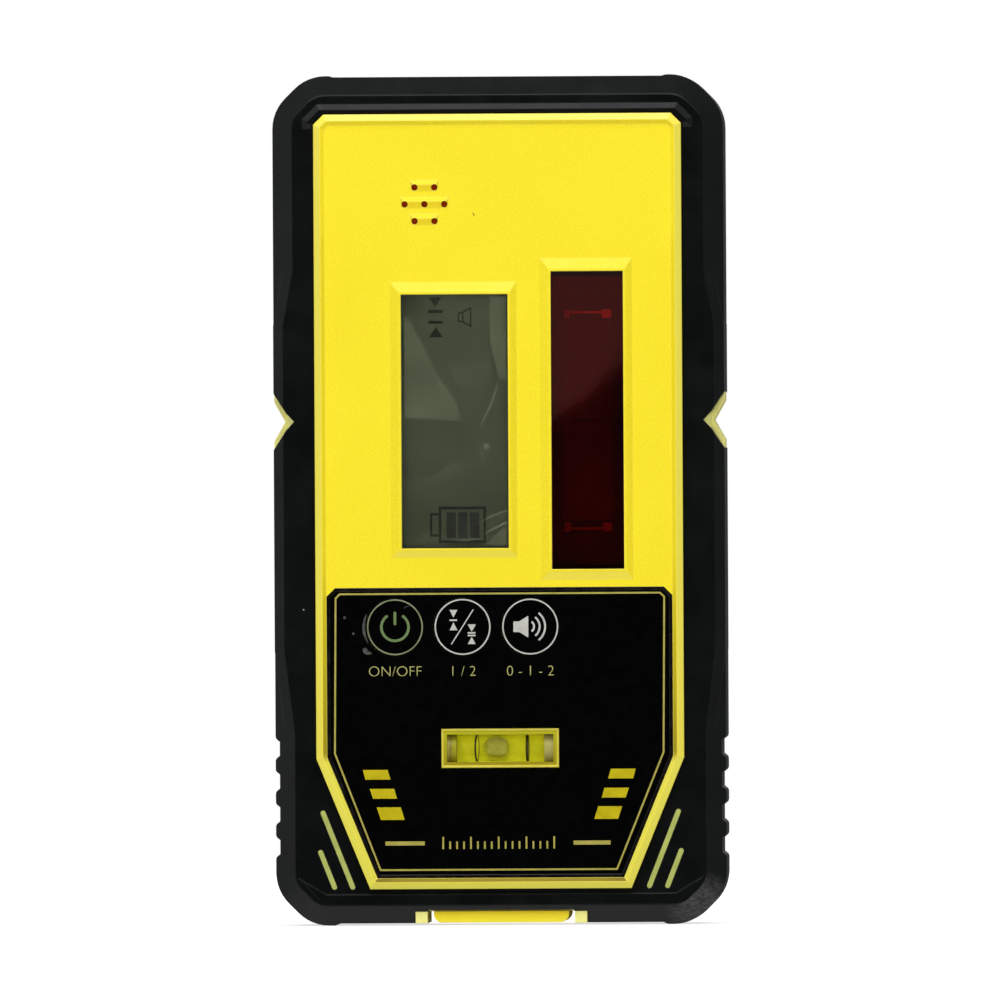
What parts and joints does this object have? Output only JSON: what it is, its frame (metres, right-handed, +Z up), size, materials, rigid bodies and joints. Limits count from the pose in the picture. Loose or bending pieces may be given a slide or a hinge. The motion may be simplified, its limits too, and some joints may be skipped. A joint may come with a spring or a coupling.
{
  "type": "laser receiver",
  "caption": "Handheld receiver for a rotating laser beam: yellow case in a black rubber bumper, with a display, a red sensor window, keys, a bubble vial and a battery door.",
  "frame": {"origin": "under the middle of the base, on the plane of its corner pads", "axes": "+Z up along the case's height, -Y out of the front with the display, +X to the right of it"},
  "size_m": [0.078, 0.03, 0.147],
  "materials": {
    "yellow_plastic": "moulded, fine grain",
    "black_rubber": "moulded, satin",
    "seal_rubber": "satin",
    "clear_lens": "polished",
    "red_filter": "polished",
    "lcd_grey": "satin polariser",
    "film_black": "gloss film",
    "white_plastic": "moulded",
    "inner_black": "moulded",
    "board_green": "solder mask",
    "silicon_cell": "coated",
    "tinned_metal": "bright tin",
    "steel": "zinc plated",
    "brass": "machined",
    "cell_jacket": "printed sleeve, bare of print",
    "vial_clear": "clear acrylic",
    "vial_cap": "moulded",
    "bubble_air": "air in spirit",
    "vent_skin": "porous membrane"
  },
  "bodies": {
    "case": {"front_shell": "yellow_plastic", "rear_shell": "yellow_plastic", "front_bumper": "black_rubber", "rear_bumper": "black_rubber", "case_seal": "seal_rubber", "lcd_window": "clear_lens", "lcd_window_gasket": "seal_rubber", "lcd_glass": "lcd_grey", "lcd_frame": "inner_black", "lcd_backlight": "white_plastic", "lcd_connector_strips": "seal_rubber", "receiver_window": "red_filter", "receiver_window_gasket": "seal_rubber", "photocells": "silicon_cell", "photocell_ribbons": "tinned_metal", "sensor_board": "board_green", "sensor_header": "inner_black", "main_board": "board_green", "controller_chip": "inner_black", "amplifier_chips": "inner_black", "capacitors": "tinned_metal", "board_screws": "steel", "buzzer": "inner_black", "buzzer_membrane": "vent_skin", "keypad_overlay": "film_black", "key_switches": "inner_black", "vial_cradle": "yellow_plastic", "vial_block": "vial_clear", "vial_plugs": "vial_cap", "vial_rings": "film_black", "clamp_insert": "brass", "case_screws": "steel", "hinge_pin": "steel", "contact_bridge": "tinned_metal", "contact_positive": "tinned_metal", "contact_negative": "tinned_metal", "battery_springs": "tinned_metal", "battery_cells": "cell_jacket"},
    "power_key": {"power_key": "film_black", "power_switch_stem": "inner_black"},
    "beam_key": {"beam_key": "film_black", "beam_switch_stem": "inner_black"},
    "volume_key": {"volume_key": "film_black", "volume_switch_stem": "inner_black"},
    "battery_door": {"battery_door": "yellow_plastic", "door_seal": "seal_rubber"},
    "vial_bubble": {"vial_bubble": "bubble_air"}
  },
  "joints": [
    {"name": "power_key_press", "type": "slide", "parent": "case", "child": "power_key", "axis": [0, 1, 0], "range_m": [0, 0.0004], "stiffness_N_per_m": 800},
    {"name": "beam_key_press", "type": "slide", "parent": "case", "child": "beam_key", "axis": [0, 1, 0], "range_m": [0, 0.0004], "stiffness_N_per_m": 800},
    {"name": "volume_key_press", "type": "slide", "parent": "case", "child": "volume_key", "axis": [0, 1, 0], "range_m": [0, 0.0004], "stiffness_N_per_m": 800},
    {"name": "battery_door_swing", "type": "hinge", "parent": "case", "child": "battery_door", "pos_m": [0, 0.0126, 0.0676], "axis": [1, 0, 0], "range_deg": [0, 100]},
    {"name": "bubble_slide", "type": "slide", "parent": "case", "child": "vial_bubble", "axis": [1, 0, 0], "range_m": [-0.004, 0.0054]}
  ]
}
